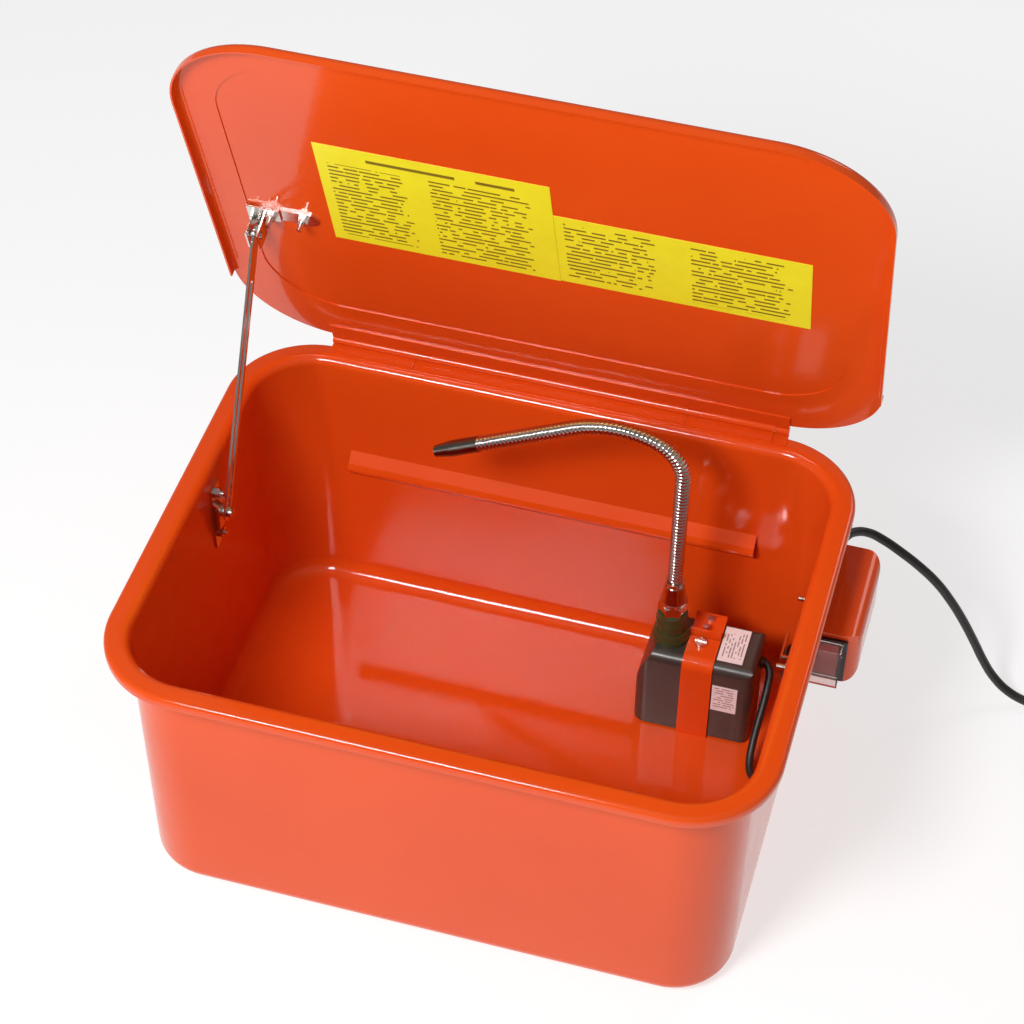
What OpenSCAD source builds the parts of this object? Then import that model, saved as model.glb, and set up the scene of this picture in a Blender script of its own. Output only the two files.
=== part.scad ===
// Bench-top parts washer tank: a pressed-steel tub with a hinged lid on a slotted stay, a strapped-in
// submersible pump with a bendable metal hose, and a switch box with a mains lead on the right wall.
// Origin: centre of the tub's underside, on the bench. +X right, +Y back, +Z up. Millimetres.
// The lid is drawn open, against the stop of its stay.

/* [Tub] */
// overall length over the rim
tub_l = 440; // [380:5:520]
// overall depth over the rim
tub_w = 338; // [290:2:400]
// height of the rim's top face
tub_h = 213; // [180:1:260]
// outer corner radius of the rim
rim_r = 60; // [45:1:75]
// width of the rim's top face, with its bends
rim_w = 17; // [12:0.5:20]
// height of the rim's turned-down lip
lip_h = 7.5; // [5:0.5:12]
// sheet thickness of the tub and the lid
sheet = 1.2; // [0.8:0.1:1.6]
// how far each wall leans in between the rim and the floor bend
draft = 2; // [0:0.5:8]
// outer radius of the bend between floor and walls
floor_r = 13; // [8:1:20]

/* [Lid] */
// half of the lid's length over its skirt
lid_half = 224; // [222:1:230]
// distance from the hinge axis to the lid's front face
lid_reach = 352; // [345:1:360]
// distance from the hinge axis to the lid's rear edge
lid_rear = 6; // [4:1:10]
// depth of the skirt from the panel's top face
skirt_h = 8.5; // [6:0.5:9]
// corner radius at the front of the lid
lid_front_r = 72; // [60:1:80]
// corner radius at the rear of the lid
lid_rear_r = 68; // [55:1:75]
// how far the lid stands open from closed, in degrees
lid_open = 71.3; // [60:0.1:80]

/* [Hinge and stay] */
// outer radius of the hinge barrel
barrel_r = 3; // [2.5:0.1:4]
// width of the stay arm's web
stay_w = 12; // [10:0.5:14]
// stay's upper joint: distance from the hinge axis along the lid
stay_u = 141; // [130:1:150]
// stay's upper joint: distance below the hinge axis, square to the lid
stay_drop = 8; // [7:0.5:9]

/* [Pump and hose] */
// pump length over its end cap
pump_l = 84; // [70:1:90]
// pump depth
pump_w = 45; // [40:1:55]
// pump height above the floor strip it stands on
pump_h = 74; // [65:1:80]
// outer radius of the metal hose
hose_r = 5.3; // [4.5:0.1:6]
// radius of the hose's tight bend
hose_bend_r = 32; // [28:1:40]
// radius of the hose's wide bend
hose_sweep_r = 70; // [60:1:80]

/* [Switch box and lead] */
// switch box length along the wall
box_l = 81; // [70:1:90]
// switch box height
box_h = 45; // [40:1:55]
// outer diameter of the mains lead
cord_d = 6.5; // [6:0.1:8]

/* [Hidden] */
tiny = 0.01;
big = 600;
m4_r = 2;
// a screw head on the leaning wall stands this far off, so its edge stays clear
head_gap = 0.1;
// tub: every corner of the tub turns about the same four centres
corner_x = tub_l / 2 - rim_r;
corner_y = tub_w / 2 - rim_r;
wall_top_r = rim_r - rim_w;
wall_foot_r = wall_top_r - draft;
rim_bend = 6.5;
lip_bend = 3.5;
wall_top_z = tub_h - rim_bend;
floor_z = sheet;
function wall_r(z) = wall_foot_r + draft * (z - floor_r) / (wall_top_z - floor_r);
function wall_x(z) = corner_x + wall_r(z);
function wall_y(z) = corner_y + wall_r(z);
// hinge
axis_y = tub_w / 2 + 1.7;
axis_z = tub_h + 4;
pin_r = 1.5;
leaf_t = 1.2;
leaf_half = 163;
knuckle_gap = 0.3;
// lid, drawn closed: y = -distance from the hinge axis, z = height above the axis
panel_z = 0.5;
lid_bend = 5;
field_rise = 0.8;
field_half = 200;
field_near = 46;
field_far = 328;
field_r = 55;
skirt_start = lid_rear + lid_rear_r;
front_cx = lid_half - lid_front_r;
front_cy = lid_reach - lid_front_r;
field_z = panel_z + field_rise;
// stay
stay_x = -194;
stay_t = 1.5;
stay_y = 30;
stay_z = 173;
stay_top_y = axis_y - stay_u * cos(lid_open) - stay_drop * sin(lid_open);
stay_top_z = axis_z + stay_u * sin(lid_open) - stay_drop * cos(lid_open);
stay_len = norm([stay_top_y - stay_y, stay_top_z - stay_z]);
stay_angle = atan2(stay_top_z - stay_z, stay_top_y - stay_y);
stay_slide = stay_len - norm([axis_y - stay_u - stay_y, axis_z - stay_drop - stay_z]);
link_half = 4.5;
link_wall = 1.2;
top_pin_half = 3;
bracket_screw_z = [152, 190];
upper_screw_x = [-182, -161];
upper_screw_u = 158;
// pump
pump_x0 = 87;
pump_y0 = 69;
strap_t = 1.5;
pump_z0 = floor_z + strap_t;
pump_top = pump_z0 + pump_h;
cap_l = 9;
cap_x = pump_x0 + pump_l - cap_l;
motor_y = pump_y0 + pump_w / 2;
motor_z = pump_z0 + 37;
lead_out_y = 100;
lead_out_z = 58;
end_bow = 80;
end_bow_z = 35;
outlet_x = 107;
outlet_y = 90;
collar_h = 27;
nut_h = 10;
ferrule_h = 21;
boss_r = 12.8;
nut_z = pump_top + collar_h;
ferrule_z = nut_z + nut_h;
bend_z = ferrule_z + ferrule_h + hose_r + 0.5;
hose_up = 232;
hose_turn = 70;
sweep_turn = 47;
hose_run = 71;
bore_r = 3;
strap_x0 = 120;
strap_w = 22;
// switch box
box_x1 = 243;
box_y0 = 32;
box_z0 = 135;
box_t = 1.2;
box_y1 = box_y0 + box_l;
box_z1 = box_z0 + box_h;
lead_y = 42;
lead_z = 150;
clamp_y = 20.8;
lead_r = 2.75;
// studs: y, z and where the thread ends in x
box_stud = [[83.6, 150, 193.4], [98, 140, 197.6]];
exit_x = 211;
exit_z = 147;
relief_l = 20;
switch_x = 222.5;
bezel_w = 25;
bezel_h = 38;
switch_z = 157;
// mains lead: its route from the strain relief down to the bench and along it to the coil
cord_r = cord_d / 2;
cord_route = [
    [211, 133, 147], [211, 143, 147], [213, 153, 146], [218.6, 161.4, 143.5], [227, 167, 139],
    [237, 169, 133], [250, 169, 125], [265, 169, 114], [279, 169, 101], [291, 168.5, 86],
    [302, 168, 69], [312, 167.5, 51], [321, 167, 34], [331, 166, 19.5], [343, 164.5, 9.5],
    [357, 163, 4.6], [372, 161.5, 3.6], [388, 160.5, 3.6], [403, 160, 3.6], [418, 160, 3.9]];
coil_x = 418;
coil_y = 117.5;
coil_z = 0.7;
coil_mean_r = 36;
coil_cols = 3;
coil_rows = 2;
plug_route = [
    [418, 160, 10.5], [432, 157.5, 12], [445, 150.5, 14.5], [454.5, 139, 16.4], [460, 125, 17],
    [460, 110, 17], [456, 98, 17], [451, 88.5, 16.8], [446, 79, 15], [442.5, 69, 12],
    [441, 58, 10], [441, 47, 9]];
plug_at = [441, 47, 9];
plug_turn = -90;
// pump lead: held between the pump and the wall grommet
lead_route = [
    [171, 100, 58], [175, 99.7, 57.5], [178.2, 96.5, 54], [179, 89, 47], [178.6, 79, 37],
    [177.6, 69, 27], [177, 59, 17.5], [177.5, 49, 10], [180, 41, 7.5], [184.5, 35.5, 9.5],
    [189.5, 33, 18], [193, 33, 32], [195.5, 34, 52], [196.5, 35.5, 76], [196.6, 37.5, 100],
    [196.4, 40, 122], [196.4, 41.5, 136], [197.4, 42, 144.5], [200.3, 42, 149.4], [204, 42, 150]];

// ---- shared shapes ----------------------------------------------------------------------------

// quarter of a bent sheet in section, about (x, z); turn picks the quadrant
module bend(x, z, r, turn, t = sheet) {
    translate([x, z]) intersection() {
        difference() {
            circle(r, $fn = 96);
            circle(r - t, $fn = 96);
        }
        rotate(turn) square(r + 1);
    }
}

// a section in (radius, height) swept round a rectangle with rounded corners
module swept_round(cx, cy) {
    corners = [[cx, cy], [-cx, cy], [-cx, -cy], [cx, -cy]];
    for (k = [0:3])
        translate(corners[k]) rotate([0, 0, 90 * k]) {
            rotate_extrude(angle = 90, $fn = 96) children();
            rotate([90, 0, 0]) linear_extrude(k % 2 == 0 ? 2 * cy : 2 * cx) children();
        }
}

// rectangle with rounded corners, from squares and circles
module rounded(x0, y0, x1, y1, r, corners = [1, 1, 1, 1]) {
    spots = [[x0, y0], [x1, y0], [x1, y1], [x0, y1]];
    ins = [[1, 1], [-1, 1], [-1, -1], [1, -1]];
    difference() {
        translate([x0, y0]) square([x1 - x0, y1 - y0]);
        for (k = [0:3])
            if (corners[k] == 1)
                translate(spots[k]) difference() {
                    translate([ins[k].x > 0 ? -1 : -r, ins[k].y > 0 ? -1 : -r]) square(r + 1);
                    translate(ins[k] * r) circle(r, $fn = 64);
                }
    }
}

// extrude a (y, z) section along x, a (x, z) section along y
module along_x(x0, x1) translate([x0, 0, 0]) rotate([90, 0, 90]) linear_extrude(x1 - x0) children();
module along_y(y0, y1) translate([0, y1, 0]) rotate([90, 0, 0]) linear_extrude(y1 - y0) children();
module up(z0, z1) translate([0, 0, z0]) linear_extrude(z1 - z0) children();

// rods between two places on one axis
module rod_x(x0, x1, y, z, r) translate([x0, y, z]) rotate([0, 90, 0]) cylinder(h = x1 - x0, r = r, $fn = 48);
module rod_z(x, y, z0, z1, r) translate([x, y, z0]) cylinder(h = z1 - z0, r = r, $fn = 48);

module hex(r, h) cylinder(h = h, r = r, $fn = 6);

// turn a closed-lid shape to the open position
module opened() translate([0, axis_y, axis_z]) rotate([-lid_open, 0, 0]) children();
// put an arm shape, drawn along +x from the pivot in the (x, y) plane, on the stay's line
module on_stay() translate([stay_x, stay_y, stay_z]) rotate([stay_angle, 0, 0])
    rotate([90, 0, 90]) children();

// everything inside the right wall's outer face
module right_wall_block()
    along_y(-big, big) polygon([
        [-big, -big], [wall_x(0) + sheet, 0], [wall_x(tub_h) + sheet, tub_h], [-big, tub_h]]);

// ---- swept tubes ------------------------------------------------------------------------------

function unit(v) = v / norm(v);
function heading(p, i) =
    unit(p[min(i + 1, len(p) - 1)] - p[max(i - 1, 0)]);
function ring_at(p, i, r, sides) =
    let (t = heading(p, i), s = unit(cross(t, [0, 0, 1])), u = cross(s, t))
    [for (k = [0:sides - 1]) p[i] + r * (cos(360 * k / sides) * s + sin(360 * k / sides) * u)];
module tube_along(p, r, sides = 10) {
    last = len(p) - 1;
    points = [for (i = [0:last]) each ring_at(p, i, r, sides)];
    skin = [for (i = [0:last - 1], k = [0:sides - 1])
        let (a = i * sides + k, b = i * sides + (k + 1) % sides) [a, b, b + sides, a + sides]];
    ends = [[for (k = [0:sides - 1]) sides - 1 - k], [for (k = [0:sides - 1]) last * sides + k]];
    polyhedron(points, concat(skin, ends), convexity = 6);
}

// ---- tub --------------------------------------------------------------------------------------

// the tub is one pressing, drawn as its walls, its floor with the bend round it, and its rolled rim
module tub_walls() color("#ee5a2c") difference() {
    swept_round(corner_x, corner_y) polygon([
        [wall_top_r, wall_top_z], [wall_top_r + sheet, wall_top_z],
        [wall_foot_r + sheet, floor_r], [wall_foot_r, floor_r]]);
    for (z = bracket_screw_z) rod_x(-big, -corner_x, stay_y, z, m4_r + 0.2);
    for (s = box_stud) rod_x(corner_x, big, s.x, s.y, m4_r + 0.2);
    rod_x(corner_x, big, clamp_y, lead_z, m4_r + 0.2);
    rod_x(corner_x, big, lead_y, lead_z, 5);
}

module tub_floor() color("#ee5a2c") {
    flat_r = wall_foot_r + sheet - floor_r;
    swept_round(corner_x, corner_y) bend(flat_r, floor_r, floor_r, 270);
    up(0, sheet) rounded(-corner_x - flat_r, -corner_y - flat_r, corner_x + flat_r,
        corner_y + flat_r, flat_r);
}

module tub_rim() color("#ee5a2c") swept_round(corner_x, corner_y) {
    bend(wall_top_r + rim_bend, wall_top_z, rim_bend, 90);
    translate([wall_top_r + rim_bend, tub_h - sheet]) square([rim_w - rim_bend - lip_bend, sheet]);
    bend(rim_r - lip_bend, tub_h - lip_bend, lip_bend, 0);
    translate([rim_r - sheet, tub_h - lip_h]) square([sheet, lip_h - lip_bend]);
}

// half of the rail's section: [distance out from the wall, height]
rail_low = 105;
rail_high = 130.5;
rail_nose = 117;
rail_out = 8;
module rail_half(inset) polygon([
    [wall_y(rail_low) + 2, rail_low + 1.6 * inset - 2], [wall_y(rail_nose) - rail_out + inset, rail_nose - 1],
    [wall_y(rail_nose) - rail_out + inset, rail_nose + 1], [wall_y(rail_nose) - 6.4 + inset, rail_nose + 5],
    [wall_y(rail_high) + 1, rail_high - inset]]);

module rear_shelf_rail() color("#e04f22") difference() {
    along_x(-147, 151) difference() {
        rail_half(0);
        rail_half(1.4);
    }
    along_x(-big, big) polygon([[wall_y(0), 0], [big, 0], [big, tub_h], [wall_y(tub_h), tub_h]]);
}

// ---- hinge ------------------------------------------------------------------------------------

lid_knuckles = [[-163, -153], [-102, -92], [92, 102], [153, 163]];
tub_knuckles = [[-153, -102], [-92, 92], [102, 153]];

module knuckles(list) difference() {
    for (k = list) rod_x(k[0] + knuckle_gap / 2, k[1] - knuckle_gap / 2, 0, 0, barrel_r);
    rod_x(-big, big, 0, 0, pin_r + 0.05);
}

module hinge_leaf_tub() color("#e85526") translate([0, axis_y, axis_z]) difference() {
    union() {
        knuckles(tub_knuckles);
        for (k = tub_knuckles)
            translate([k[0] + knuckle_gap / 2, -12, tub_h - axis_z])
                cube([k[1] - k[0] - knuckle_gap, 12, leaf_t]);
        translate([-leaf_half, -12, tub_h - axis_z]) cube([2 * leaf_half, 12, 0.6]);
    }
    rod_x(-big, big, 0, 0, pin_r + 0.05);
}

module hinge_pin() color("#d8d8d6") translate([0, axis_y, axis_z])
    rod_x(-leaf_half, leaf_half, 0, 0, pin_r);

module hinge_leaf_lid() color("#e85526") opened() difference() {
    union() {
        knuckles(lid_knuckles);
        for (k = lid_knuckles)
            translate([k[0] + knuckle_gap / 2, -8, panel_z - leaf_t])
                cube([k[1] - k[0] - knuckle_gap, 8, leaf_t]);
        translate([-leaf_half + knuckle_gap / 2, -19, panel_z - leaf_t])
            cube([2 * leaf_half - knuckle_gap, 14, leaf_t]);
    }
    rod_x(-big, big, 0, 0, pin_r + 0.05);
}

// ---- lid --------------------------------------------------------------------------------------

module lid_section() {
    top = panel_z + sheet;
    translate([lid_front_r - sheet, top - skirt_h]) square([sheet, skirt_h - lid_bend]);
    bend(lid_front_r - lid_bend, top - lid_bend, lid_bend, 0);
}

module lid_outline() {
    flat = lid_front_r - lid_bend;
    translate([-front_cx - flat, -front_cy]) square([2 * (front_cx + flat), front_cy - skirt_start]);
    translate([-front_cx, -front_cy - flat]) square([2 * front_cx, flat + tiny]);
    for (s = [-1, 1]) translate([s * front_cx, -front_cy]) circle(flat, $fn = 96);
    rear = lid_half - lid_rear_r;
    translate([-rear, -skirt_start]) square([2 * rear, lid_rear_r]);
    intersection() {
        for (s = [-1, 1]) translate([s * rear, -skirt_start]) circle(lid_rear_r, $fn = 96);
        translate([-big, -skirt_start]) square([2 * big, big]);
    }
}

module field_outline(inset = 0)
    rounded(-field_half + inset, -field_far + inset, field_half - inset, -field_near - inset,
        field_r - inset);

module lid() color("#ee5a2c") opened() difference() {
    union() {
        for (s = [0, 1]) mirror([s, 0, 0]) {
            translate([front_cx, -front_cy, 0]) rotate([0, 0, -90])
                rotate_extrude(angle = 90, $fn = 96) lid_section();
            translate([front_cx, -skirt_start, 0]) rotate([90, 0, 0])
                linear_extrude(front_cy - skirt_start) lid_section();
        }
        translate([front_cx, -front_cy, 0]) rotate([0, 0, -90]) rotate([90, 0, 0])
            linear_extrude(2 * front_cx) lid_section();
        up(panel_z, panel_z + sheet) difference() {
            lid_outline();
            field_outline(1.5);
        }
        up(field_z, field_z + sheet) field_outline();
    }
    for (x = upper_screw_x) rod_z(x, -upper_screw_u, -20, 20, m4_r + 0.2);
}

module lid_labels() color("#f2dc22") opened() up(field_z - 0.3, field_z) {
    translate([-141, -253]) square([152, 111]);
    translate([11.2, -221]) square([163, 78]);
}

// ---- stay -------------------------------------------------------------------------------------

module stay_bracket_lower() color("#c9c9c6") difference() {
    along_y(stay_y - 7, stay_y + 7) polygon([
        [-wall_x(142), 142], [-wall_x(142) + 1.5, 142], [-wall_x(157) + 1.5, 157], [-197, 161],
        [-197, 181], [-wall_x(184) + 1.5, 185], [-wall_x(196) + 1.5, 196], [-wall_x(196), 196],
        [-wall_x(184), 184], [-198.5, 180.2], [-198.5, 161.8], [-wall_x(157), 157.6]]);
    for (z = bracket_screw_z) rod_x(-big, -190, stay_y, z, m4_r + 0.2);
    rod_x(-big, -190, stay_y, stay_z, m4_r + 0.05);
}

// screw from outside through a wall, along x: head outside, thread end inside
module wall_screw(x_out, x_in, y, z, s) {
    rod_x(min(x_out, x_in), max(x_out, x_in), y, z, m4_r);
    rod_x(min(x_out, x_out - s * 2.4), max(x_out, x_out - s * 2.4), y, z, 3.8);
}

module stay_bracket_screws() color("#d4d4d2")
    for (z = bracket_screw_z) wall_screw(-wall_x(z) - sheet - head_gap, -195.5, stay_y, z, 1);

module stay_bracket_nuts() color("#d4d4d2") difference() {
    for (z = bracket_screw_z)
        translate([-wall_x(z) + 1.55, stay_y, z]) rotate([0, 90, 0]) hex(4, 3.2);
    for (z = bracket_screw_z) rod_x(-big, -190, stay_y, z, m4_r);
}

module stay_pivot_screw() color("#dededc") difference() {
    union() {
        rod_x(-202, stay_x + 0.75, stay_y, stay_z, m4_r);
        rod_x(-196.95, -195.05, stay_y, stay_z, 4.2);
        rod_x(stay_x + 1.05, stay_x + 3.8, stay_y, stay_z, 3.7);
        rod_x(stay_x, stay_x + 1.5, stay_y, stay_z, m4_r);
    }
    translate([stay_x + 3, stay_y - 0.5, stay_z - 4]) cube([2, 1, 8]);
}

module stay_pivot_nut() color("#d4d4d2") difference() {
    translate([-201.8, stay_y, stay_z]) rotate([0, 90, 0]) hex(4, 3);
    rod_x(-big, -190, stay_y, stay_z, m4_r);
}

module stay_arm() color("#cfcfcc") on_stay() {
    translate([0, 0, -stay_t / 2]) linear_extrude(stay_t) difference() {
        union() {
            translate([0, -stay_w / 2]) square([stay_len - 4, stay_w]);
            circle(stay_w / 2, $fn = 48);
            translate([stay_len - 4, -5.5]) square([4, 11]);
            translate([stay_len, 0]) circle(5.5, $fn = 48);
        }
        circle(m4_r + 0.3, $fn = 32);
        translate([0, -m4_r - 0.3]) square([stay_slide + 2, 2 * m4_r + 0.6]);
        translate([stay_slide + 2, 0]) circle(m4_r + 0.3, $fn = 32);
    }
    translate([stay_len, 0, -top_pin_half]) cylinder(h = 2 * top_pin_half, r = m4_r, $fn = 32);
}

module stay_bracket_upper() color("#d8d8d5") opened() up(field_z - 1.5, field_z) difference() {
    union() {
        translate([-189, -upper_screw_u - 6]) square([33, 12]);
        for (x = [-189, -156]) translate([x, -upper_screw_u]) circle(6, $fn = 48);
    }
    for (x = upper_screw_x) translate([x, -upper_screw_u]) circle(m4_r + 0.2, $fn = 32);
}

module lid_bracket_screws() color("#d4d4d2") opened()
    for (x = upper_screw_x) {
        rod_z(x, -upper_screw_u, -9, field_z + sheet + 0.5, m4_r);
        rod_z(x, -upper_screw_u, field_z + sheet, field_z + sheet + 2.2, 3.8);
    }

module lid_bracket_nuts() color("#d4d4d2") opened() difference() {
    for (k = [0:1])
        translate([upper_screw_x[k], -upper_screw_u, k == 0 ? -4.95 : -3.45]) hex(4, 3.2);
    for (x = upper_screw_x) rod_z(x, -upper_screw_u, -20, 20, m4_r);
}

module fusible_link() color("#b9bab6") opened() difference() {
    top = field_z - 1.55;
    union() {
        translate([stay_x, -upper_screw_u - 6, top - 1.5]) cube([stay_x * -1 - 176, 12, 1.5]);
        translate([stay_x - link_half, -upper_screw_u - 6, top - 1.5])
            cube([2 * link_half, upper_screw_u + 6 - stay_u + 9, 1.5]);
        for (s = [-1, 1])
            translate([stay_x + s * (link_half - link_wall / 2) - link_wall / 2, -stay_u - 8, -13.5])
                cube([link_wall, 17, 13.5 + top - tiny]);
        for (s = [-1, 1])
            rod_x(stay_x + s * (link_half + 0.4) - 0.4, stay_x + s * (link_half + 0.4) + 0.4,
                -stay_u, -stay_drop, 3);
    }
    rod_z(upper_screw_x[0], -upper_screw_u, -20, 20, m4_r + 0.2);
}

// ---- pump -------------------------------------------------------------------------------------

// rounded on its long top edges and its upright corners, with a bowed outer end
module pump_block(x0, x1, inset) intersection() {
    x_out = x0 + inset;
    along_x(x_out, x1) rounded(pump_y0 + inset, pump_z0 + inset, pump_y0 + pump_w - inset,
        pump_top - inset, 7 - inset, [0, 0, 1, 1]);
    along_y(0, 200) rounded(x_out, -10, x1 + 50, end_bow_z + end_bow - inset, end_bow - inset,
        [0, 0, 0, 1]);
    up(0, 100) rounded(x_out, pump_y0 + inset, x1 + 50, pump_y0 + pump_w - inset, 9 - inset, [1, 0, 0, 1]);
}

module pump_housing() color("#4a3b33") difference() {
    union() {
        pump_block(pump_x0, cap_x, 0);
        rod_z(outlet_x, outlet_y, end_bow_z + 15, pump_top - 0.5, boss_r);
    }
    pump_block(pump_x0, cap_x + 1, 2.5);
    rod_z(outlet_x, outlet_y, pump_top - 10, pump_top + 1, 6);
    translate([pump_x0 + 7, pump_y0 + 9, pump_z0 - 1]) cube([20, pump_w - 18, 4]);
}

module pump_end_cap() color("#4e4440") difference() {
    intersection() {
        along_x(cap_x + 0.1, pump_x0 + pump_l) rounded(pump_y0, pump_z0, pump_y0 + pump_w, pump_top,
            7, [0, 0, 1, 1]);
        along_y(0, 200) rounded(0, pump_z0 - 1, pump_x0 + pump_l, pump_top, 4, [0, 0, 1, 0]);
        up(0, 100) rounded(0, pump_y0, pump_x0 + pump_l, pump_y0 + pump_w, 6, [0, 1, 1, 0]);
    }
    rod_x(cap_x - 1, cap_x + 4, motor_y, motor_z, 1.55);
}

module pump_outlet_collar() color("#5c6230") difference() {
    union() {
        rod_z(outlet_x, outlet_y, pump_top, pump_top + 4.5, 12.8);
        translate([outlet_x, outlet_y, pump_top + 4]) cylinder(h = 6, r1 = 12.4, r2 = 11.8, $fn = 64);
        rod_z(outlet_x, outlet_y, pump_top + 9, pump_top + collar_h, 10.7);
        rod_z(outlet_x, outlet_y, pump_top + 17, pump_top + 20, 11.2);
        rod_z(outlet_x, outlet_y, pump_top - 3, pump_top, 5.95);
    }
    rod_z(outlet_x, outlet_y, pump_top - 5, pump_top + 40, 4);
}

module pump_stator() color("#8a5a34") difference() {
    translate([114, pump_y0 + 3, motor_z - 21]) cube([44, pump_w - 6, 42]);
    rod_x(118, 160, motor_y, motor_z, 10);
    rod_x(112, 120, motor_y, motor_z, 1.55);
}

module pump_intake_screen() color("#3a322e") difference() {
    translate([pump_x0 + 7.2, pump_y0 + 9.2, pump_z0 + 0.3]) cube([19.6, pump_w - 18.4, 2.1]);
    for (k = [0:3]) translate([pump_x0 + 10 + 4 * k, pump_y0 + 12, pump_z0 - 1]) cube([2, pump_w - 24, 5]);
}

module pump_rotor() color("#9a9a9a") {
    rod_x(95, cap_x + 3.5, motor_y, motor_z, 1.5);
    rod_x(121, 155, motor_y, motor_z, 9);
}

module pump_impeller() color("#e8e4da") difference() {
    union() {
        rod_x(97, 109, motor_y, motor_z, 4);
        rod_x(107.5, 109, motor_y, motor_z, 15);
        for (a = [0:60:300])
            translate([0, motor_y, motor_z]) rotate([a, 0, 0]) translate([98, -0.6, 0]) cube([10, 1.2, 15]);
    }
    rod_x(90, 120, motor_y, motor_z, 1.5);
}

module pump_strap_front() color("#e85526") difference() {
    along_x(strap_x0, strap_x0 + strap_w) difference() {
        rounded(pump_y0 - strap_t, floor_z, pump_y0 + 24, pump_top + strap_t, 8.5, [0, 0, 0, 1]);
        rounded(pump_y0, pump_z0, pump_y0 + 30, pump_top, 7, [0, 0, 0, 1]);
        translate([pump_y0 + 14, 0]) square([20, 40]);
    }
    rod_z(strap_x0 + 9, pump_y0 + 18, pump_top - 2, pump_top + 5, m4_r + 0.2);
}

module pump_strap_rear() color("#e0501f") {
    y1 = pump_y0 + pump_w;
    along_x(strap_x0 + tiny, strap_x0 + strap_w - tiny) {
        translate([y1, floor_z]) square([strap_t, pump_top + 2 * strap_t - floor_z]);
        translate([pump_y0 + 25, pump_top]) square([y1 + strap_t - pump_y0 - 25, strap_t]);
        translate([pump_y0 + 25, pump_top]) square([strap_t, 8]);
    }
}

module pump_strap_screws() color("#d4d4d2") {
    translate([strap_x0 + 9, pump_y0 + 18, 0]) difference() {
        union() {
            rod_z(0, 0, pump_top + strap_t, pump_top + strap_t + 2.6, 4.2);
            rod_z(0, 0, pump_top, pump_top + strap_t + 1, m4_r);
        }
        translate([-5, -0.6, pump_top + strap_t + 1.8]) cube([10, 1.2, 2]);
    }
    rod_z(strap_x0 + 10, pump_y0 + 31, pump_top + strap_t, pump_top + 6.5, 2.2);
    rod_z(strap_x0 + 11, pump_y0 + pump_w - 3, pump_top + strap_t, pump_top + 3.4, 2.6);
}

module pump_labels() color("#efe6e6") {
    x0 = strap_x0 + strap_w + 1;
    translate([x0, pump_y0 + 8, pump_top]) cube([18, 32, 0.3]);
    translate([x0, pump_y0 - 0.3, pump_z0 + 30]) cube([18, 0.3, 26]);
}

module pump_lead_boss() color("#1c1c1c") difference() {
    translate([pump_x0 + pump_l, lead_out_y, lead_out_z]) rotate([0, 90, 0])
        cylinder(h = 3.5, r1 = 4.6, r2 = 3.8, $fn = 48);
    rod_x(160, 180, lead_out_y, lead_out_z, lead_r + 0.05);
}

module pump_lead() color("#1a1a1a") tube_along(lead_route, lead_r, 10);

module lead_bracket() color("#8d8b88") difference() {
    translate([0, 0, 145]) union() {
        translate([wall_x(150) - 1.5, 15, 0]) cube([1.5, 12, 10]);
        translate([192.5, 25.5, 0]) cube([wall_x(150) - 192.5, 1.5, 10]);
        translate([192.5, 25.5, 0]) cube([1.5, 26, 10]);
    }
    rod_x(180, big, clamp_y, lead_z, m4_r + 0.2);
    right_wall_cut();
}

// everything beyond the right wall's inner face
module right_wall_cut() along_y(-big, big)
    polygon([[wall_x(0), 0], [big, 0], [big, tub_h], [wall_x(tub_h), tub_h]]);

module lead_bracket_screw() color("#d4d4d2") {
    wall_screw(wall_x(lead_z) + sheet + head_gap, 191.5, clamp_y, lead_z, -1);
    difference() {
        translate([wall_x(150) - 1.7 - 3.2, clamp_y, lead_z]) rotate([0, 90, 0]) hex(4, 3.2);
        rod_x(180, big, clamp_y, lead_z, m4_r);
    }
}

module wall_grommet() color("#151515") difference() {
    union() {
        rod_x(wall_x(lead_z) - 2.6, wall_x(lead_z) - 0.1, lead_y, lead_z, 7);
        rod_x(wall_x(lead_z) - 1, wall_x(lead_z) + sheet + 2.5, lead_y, lead_z, 4.9);
    }
    rod_x(180, big, lead_y, lead_z, lead_r + 0.05);
}

// ---- switch box -------------------------------------------------------------------------------

module box_block(inset) intersection() {
    along_y(box_y0 + inset, box_y1 - inset) rounded(190, box_z0 + inset, box_x1 - inset,
        box_z1 - inset, 8 - inset, [0, 1, 1, 0]);
    up(box_z0, box_z1) rounded(190, box_y0 + inset, box_x1 - inset, box_y1 - inset, 12 - inset,
        [0, 1, 1, 0]);
}

module switch_box() color("#e2481f") difference() {
    union() {
        difference() {
            box_block(0);
            box_block(box_t);
        }
        translate([190, 76, box_z0 + 0.6]) cube([16.5, 34, box_h - 1.2]);
    }
    right_wall_block();
    translate([205.7, 77.2, box_z0 + box_t]) cube([6.7, 30, box_h - 2 * box_t]);
    for (s = box_stud) rod_x(190, 215, s.x, s.y, m4_r + 0.2);
    translate([switch_x - 9.5, box_y0 - 1, switch_z - 16.5]) cube([19, 12, 33]);
    translate([exit_x, box_y1 + 1, exit_z]) rotate([90, 0, 0]) cylinder(h = 14, r = 4, $fn = 48);
}

module switch_box_studs() color("#d4d4d2")
    for (s = box_stud) {
        rod_x(s.z, 206.3, s.x, s.y, m4_r);
        rod_x(205.8, 208.1, s.x, s.y, 3.8);
    }

module switch_box_nuts() color("#d4d4d2") difference() {
    for (s = box_stud) {
        translate([wall_x(s.y) - 0.15 - 3.2, s.x, s.y]) rotate([0, 90, 0]) hex(4, 3.2);
    }
    for (s = box_stud) rod_x(180, big, s.x, s.y, m4_r);
}

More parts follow.
